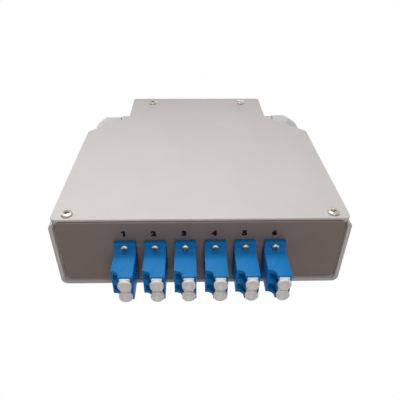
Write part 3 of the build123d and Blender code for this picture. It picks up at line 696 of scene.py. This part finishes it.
capForm = {"boreRadius": 1.6 * mm, "boreDepth": 10.0 * mm, "neckRadius": 2.0 * mm, "plugChamfer": 0.3 * mm,
           "collarWidth": 4.25 * mm, "collarHeight": 5.6 * mm, "collarLength": 0.84 * mm,
           "collarEdge": 0.12 * mm, "collarGap": 0.01 * mm, "headRadius": 2.85 * mm,
           "headThickness": 1.4 * mm, "backRadius": 0.2 * mm, "backRows": 3, "rimRadius": 0.42 * mm,
           "rimRows": 6, "lip": 0.1 * mm, "dishRadius": 1.9 * mm, "dishDepth": 0.95 * mm, "dishRows": 9,
           "dishCurve": 1.4, "segments": 56, "sharp": 50}


def blockRadius(width, height):
    # rectangular section as a radius for each turn
    nearZero = 0.001

    def radius(turn):
        across = width / 2 / max(abs(math.cos(turn)), nearZero)
        upright = height / 2 / max(abs(math.sin(turn)), nearZero)
        return min(across, upright)
    return radius


def capRings(plugEnd):
    form = capForm
    bore = form["boreRadius"]
    neck = form["neckRadius"]
    chamfer = form["plugChamfer"]
    collar = form["collarLength"]
    edge = form["collarEdge"]
    boreBottom = plugEnd + form["boreDepth"]
    narrow = blockRadius(form["collarWidth"] - 2 * edge, form["collarHeight"] - 2 * edge)
    full = blockRadius(form["collarWidth"], form["collarHeight"])
    rings = [(0, boreBottom), (bore, boreBottom), (bore, plugEnd), (neck - chamfer / 2, plugEnd),
             (neck, plugEnd + chamfer), (neck, -collar), (narrow, -collar), (full, edge - collar),
             (full, -form["collarGap"])]
    head = form["headRadius"]
    top = form["headThickness"]
    back = form["backRadius"]
    for lean in arcTurns(form["backRows"]):
        rings.append((head - back + back * math.sin(lean), back - back * math.cos(lean)))
    rim = form["rimRadius"]
    for lean in arcTurns(form["rimRows"]):
        rings.append((head - rim + rim * math.cos(lean), top - rim + rim * math.sin(lean)))
    dish = form["dishRadius"]
    depth = form["dishDepth"]
    rings.append((dish + form["lip"], top))
    for row in range(1, form["dishRows"]):
        reach = dish * (1 - row / form["dishRows"])
        rings.append((reach, top - depth * math.cos(math.pi / 2 * reach / dish) ** form["dishCurve"]))
    rings.append((0, top - depth))
    return rings


def buildCaps():
    head = capForm["headThickness"]
    for port in ports:
        name = "dust_cap_" + port
        low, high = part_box(name)
        centre = (low + high) / 2
        mesh = ringForm(name + "_turned", capRings(low.y + head - high.y), capForm["segments"])
        place = Matrix.Translation((centre.x, low.y + head, centre.z))
        mesh.transform(place @ Matrix.Rotation(math.pi / 2, 4, "X"))
        mesh.set_sharp_from_angle(angle=math.radians(capForm["sharp"]))
        mesh.materials.append(finishes[slotOf[name]])
        placePiece(linkPiece(name + "_turned", mesh), "cap_" + port, slotOf[name], name)
    print("dust caps done")


# printed numbers above the adapters; the first has a flag and no foot

numberPrint = {"height": 3.0 * mm, "widen": 1.18, "bolder": 0.03, "rim": 0.055, "curveSteps": 6,
               "above": 29.4 * mm, "left": 0.5 * mm, "proud": 0.02 * mm,
               "one": [(0.19, 0), (0.40, 0), (0.40, 0.72), (0.25, 0.72), (0.02, 0.60), (0.02, 0.45),
                       (0.19, 0.52)]}


def digitMesh(digit):
    sketch = bpy.data.curves.new("number", "FONT")
    sketch.body = digit
    sketch.resolution_u = numberPrint["curveSteps"]
    sketch.extrude = 1.0
    sketch.offset = numberPrint["bolder"]
    sketch.bevel_depth = numberPrint["rim"]
    sketch.bevel_resolution = 0
    holder = linkPiece("numberSketch", sketch)
    mesh = evaluatedMesh(holder)
    bpy.data.objects.remove(holder)
    return mesh


def buildNumbers():
    numberInk = printInk("number ink")
    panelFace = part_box("front_panel")[0].y
    for number in numbers:
        low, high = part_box("adapter_" + str(number))
        mesh = prism("number", numberPrint["one"], -1, 1) if number == 1 else digitMesh(str(number))
        xs = [v.co.x for v in mesh.vertices]
        ys = [v.co.y for v in mesh.vertices]
        factor = numberPrint["height"] / (max(ys) - min(ys))
        mesh.transform(Matrix.Translation((-(max(xs) + min(xs)) / 2, -(max(ys) + min(ys)) / 2, 0)))
        mesh.transform(Matrix.Diagonal((factor * numberPrint["widen"], factor, numberPrint["proud"], 1)))
        mesh.transform(Matrix.Rotation(math.pi / 2, 4, "X"))
        middle = (low.x + high.x) / 2 - numberPrint["left"]
        mesh.transform(Matrix.Translation((middle, panelFace, numberPrint["above"])))
        mesh.materials.append(numberInk)
        placePiece(linkPiece("number_" + str(number), mesh), "box", "panel_paint")
    print("numbers done")


# latch spring: a smooth coil made from the node's own triangles

springForm = {"joint": "rail_latch_pull", "travel": 4.5 * mm, "sharp": 50}


def buildSpring():
    mesh = finishForm(mergedForm("latch_spring"), "latch_spring_coil")
    mesh.shade_smooth()
    mesh.set_sharp_from_angle(angle=math.radians(springForm["sharp"]))
    mesh.materials.append(finishes[slotOf["latch_spring"]])
    coil = linkPiece("latch_spring_coil", mesh)
    placePiece(coil, "box", slotOf["latch_spring"], "latch_spring")
    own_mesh(coil)
    print("spring done")


# moulded and folded nodes get softly broken edges, and each adapter its notch

notchForm = {"width": 3.3 * mm, "depth": 3.5 * mm, "radius": 2.5 * mm, "steps": 8, "beyond": 1.0 * mm}
softForm = {"flatAngle": 0.6, "segments": 2, "edgeAngle": 32, "sharp": 40}
softEdges = {"base_tray": 0.12 * mm, "front_panel": 0.06 * mm, "rail_clip_body": 0.25 * mm,
             "rail_latch": 0.2 * mm, "splice_tray": 0.15 * mm, "splice_comb": 0.12 * mm}
for name in ("adapter_nuts", "bracket_nuts", "clip_nuts", "tray_standoffs", "earth_nut"):
    softEdges[name] = 0.12 * mm
for name in adapters:
    softEdges[name] = 0.10 * mm
for side in sides:
    softEdges["cable_clamp_" + side] = 0.1 * mm
    softEdges["panel_bracket_" + side] = 0.1 * mm
    softEdges["gland_locknut_" + side] = 0.15 * mm


def notchCutter(name):
    low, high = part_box(name)
    beyond = notchForm["beyond"]
    curve = notchForm["radius"]
    right = low.x + notchForm["width"]
    back = low.y + notchForm["depth"]
    outline = [(low.x - beyond, low.y - beyond), (right, low.y - beyond)]
    for lean in arcTurns(notchForm["steps"]):
        outline.append((right - curve + curve * math.cos(lean), back - curve + curve * math.sin(lean)))
    outline.append((low.x - beyond, back))
    return linkPiece(name + "Notch", prism(name + "Notch", outline, low.z - beyond, high.z + beyond))


def softenNode(name, width):
    form = mergedForm(name)
    flat = math.radians(softForm["flatAngle"])
    bmesh.ops.dissolve_limit(form, angle_limit=flat, verts=form.verts, edges=form.edges)
    mesh = finishForm(form, name + "_soft")
    mesh.materials.append(finishes[slotOf[name]])
    piece = linkPiece(name + "_soft", mesh)
    if name in adapters:
        cutAway(piece, notchCutter(name))
    bevel = piece.modifiers.new("edges", "BEVEL")
    bevel.width = width
    bevel.segments = softForm["segments"]
    bevel.limit_method = "ANGLE"
    bevel.angle_limit = math.radians(softForm["edgeAngle"])
    bevel.harden_normals = False
    piece.data.shade_smooth()
    bakePiece(piece)
    piece.data.set_sharp_from_angle(angle=math.radians(softForm["sharp"]))
    placePiece(piece, nodes[name]["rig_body"], slotOf[name], name)


def buildSoftEdges():
    for name, width in softEdges.items():
        softenNode(name, width)
    print("soft edges done")


# camera fitted to the photograph

photoCamera = {"focalPixels": 411.6, "imageWidth": 400, "sensorWidth": 36.0, "nearest": 10 * mm,
               "place": (-4.3 * mm, -203.8 * mm, 143.4 * mm), "pitch": 35.33, "yaw": 1.55, "roll": 0.51}


def buildCamera():
    pitch = math.radians(photoCamera["pitch"])
    yaw = math.radians(photoCamera["yaw"])
    roll = math.radians(photoCamera["roll"])
    ahead = Vector((math.sin(yaw) * math.cos(pitch), math.cos(yaw) * math.cos(pitch), -math.sin(pitch)))
    right = Vector((math.cos(yaw), -math.sin(yaw), 0))
    up = right.cross(ahead)
    rolledRight = math.cos(roll) * right + math.sin(roll) * up
    rolledUp = -math.sin(roll) * right + math.cos(roll) * up
    lens = bpy.data.cameras.new("photo camera")
    lens.sensor_width = photoCamera["sensorWidth"]
    lens.lens = photoCamera["sensorWidth"] * photoCamera["focalPixels"] / photoCamera["imageWidth"]
    lens.clip_start = photoCamera["nearest"]
    camera = bpy.data.objects.new("photo camera", lens)
    turn = Matrix((rolledRight, rolledUp, -ahead)).transposed().to_4x4()
    camera.matrix_world = Matrix.Translation(photoCamera["place"]) @ turn
    bpy.context.scene.collection.objects.link(camera)
    bpy.context.scene.camera = camera


# studio: five lamps, a floor and surroundings that the camera sees as white; in metres and watts

studio = {
    "lamps": {
        "soft lamp": {"place": (-0.05, 0.03, 0.32), "aim": (-0.03, -0.48, 0.05),
                      "size": (0.26, 0.17), "power": 0.89},
        "front lamp": {"place": (0.04, -0.40, 0.22), "aim": (0.0, -0.07, 0.02),
                       "size": (0.22, 0.16), "power": 0.40},
        "side lamp": {"place": (-0.30, 0.16, 0.10), "aim": (-0.055, 0.05, 0.02),
                      "size": (0.12, 0.12), "power": 0.15},
        "right lamp": {"place": (0.50, 0.02, 0.05), "aim": (0.06, 0.0, 0.02),
                       "size": (0.16, 0.08), "power": 0.20},
        "back lamp": {"place": (0.12, 0.48, 0.05), "aim": (0.0, 0.06, 0.02),
                      "size": (0.20, 0.08), "power": 0.34},
    },
    "lampColor": (1.0, 0.985, 0.985), "ambient": (0.150, 0.140, 0.132),
    "floorColor": (0.40, 0.375, 0.36), "floorRoughness": 0.9, "floorSize": 6.0, "floorShow": 0.996}


def backgroundRays(tree):
    # one for the rays that see the white surroundings, straight or in a piece
    path = tree.nodes.new("ShaderNodeLightPath")
    seen = path.outputs["Is Camera Ray"]
    for kind in ("Is Glossy Ray", "Is Transmission Ray"):
        either = tree.nodes.new("ShaderNodeMath")
        either.operation = "MAXIMUM"
        tree.links.new(seen, either.inputs[0])
        tree.links.new(path.outputs[kind], either.inputs[1])
        seen = either.outputs[0]
    return seen


def mixShaders(tree, share, lit, shown, output):
    mixer = tree.nodes.new("ShaderNodeMixShader")
    tree.links.new(share, mixer.inputs[0])
    tree.links.new(lit, mixer.inputs[1])
    tree.links.new(shown, mixer.inputs[2])
    tree.links.new(mixer.outputs[0], tree.nodes[output].inputs["Surface"])


def buildLamps():
    for name, lamp in studio["lamps"].items():
        data = bpy.data.lights.new(name, "AREA")
        data.shape = "RECTANGLE"
        data.size, data.size_y = lamp["size"]
        data.energy = lamp["power"]
        data.color = studio["lampColor"]
        holder = bpy.data.objects.new(name, data)
        holder.location = lamp["place"]
        back = Vector(lamp["place"]) - Vector(lamp["aim"])
        holder.rotation_euler = back.to_track_quat("Z", "Y").to_euler()
        bpy.context.scene.collection.objects.link(holder)


def buildSurroundings():
    world = bpy.data.worlds.new("studio")
    world.use_nodes = True
    tree = world.node_tree
    light = tree.nodes["Background"]
    light.inputs["Color"].default_value = (*studio["ambient"], 1)
    white = tree.nodes.new("ShaderNodeBackground")
    white.inputs["Color"].default_value = (1, 1, 1, 1)
    mixShaders(tree, backgroundRays(tree), light.outputs[0], white.outputs[0], "World Output")
    bpy.context.scene.world = world


def buildFloor():
    half = studio["floorSize"] / 2
    corners = [(-half, -half, 0), (half, -half, 0), (half, half, 0), (-half, half, 0)]
    mesh = bpy.data.meshes.new("floor")
    mesh.from_pydata(corners, [], [(0, 1, 2, 3)])
    material, tree, shader = startMaterial("pale floor")
    shader.inputs["Base Color"].default_value = (*studio["floorColor"], 1)
    shader.inputs["Roughness"].default_value = studio["floorRoughness"]
    glow = tree.nodes.new("ShaderNodeEmission")
    share = tree.nodes.new("ShaderNodeMath")
    share.operation = "MULTIPLY"
    share.inputs[1].default_value = studio["floorShow"]  # the rest keeps the object's shadow
    tree.links.new(backgroundRays(tree), share.inputs[0])
    mixShaders(tree, share.outputs[0], shader.outputs[0], glow.outputs[0], "Material Output")
    mesh.materials.append(material)
    linkPiece("floor", mesh)


buildScrews()
buildStuds()
buildGlands()
buildCaps()
buildNumbers()
buildSpring()
buildSoftEdges()
buildCamera()
buildLamps()
buildSurroundings()
buildFloor()
bpy.context.scene.view_settings.view_transform = "Standard"
print("camera and studio done")

bpy.context.view_layer.update()
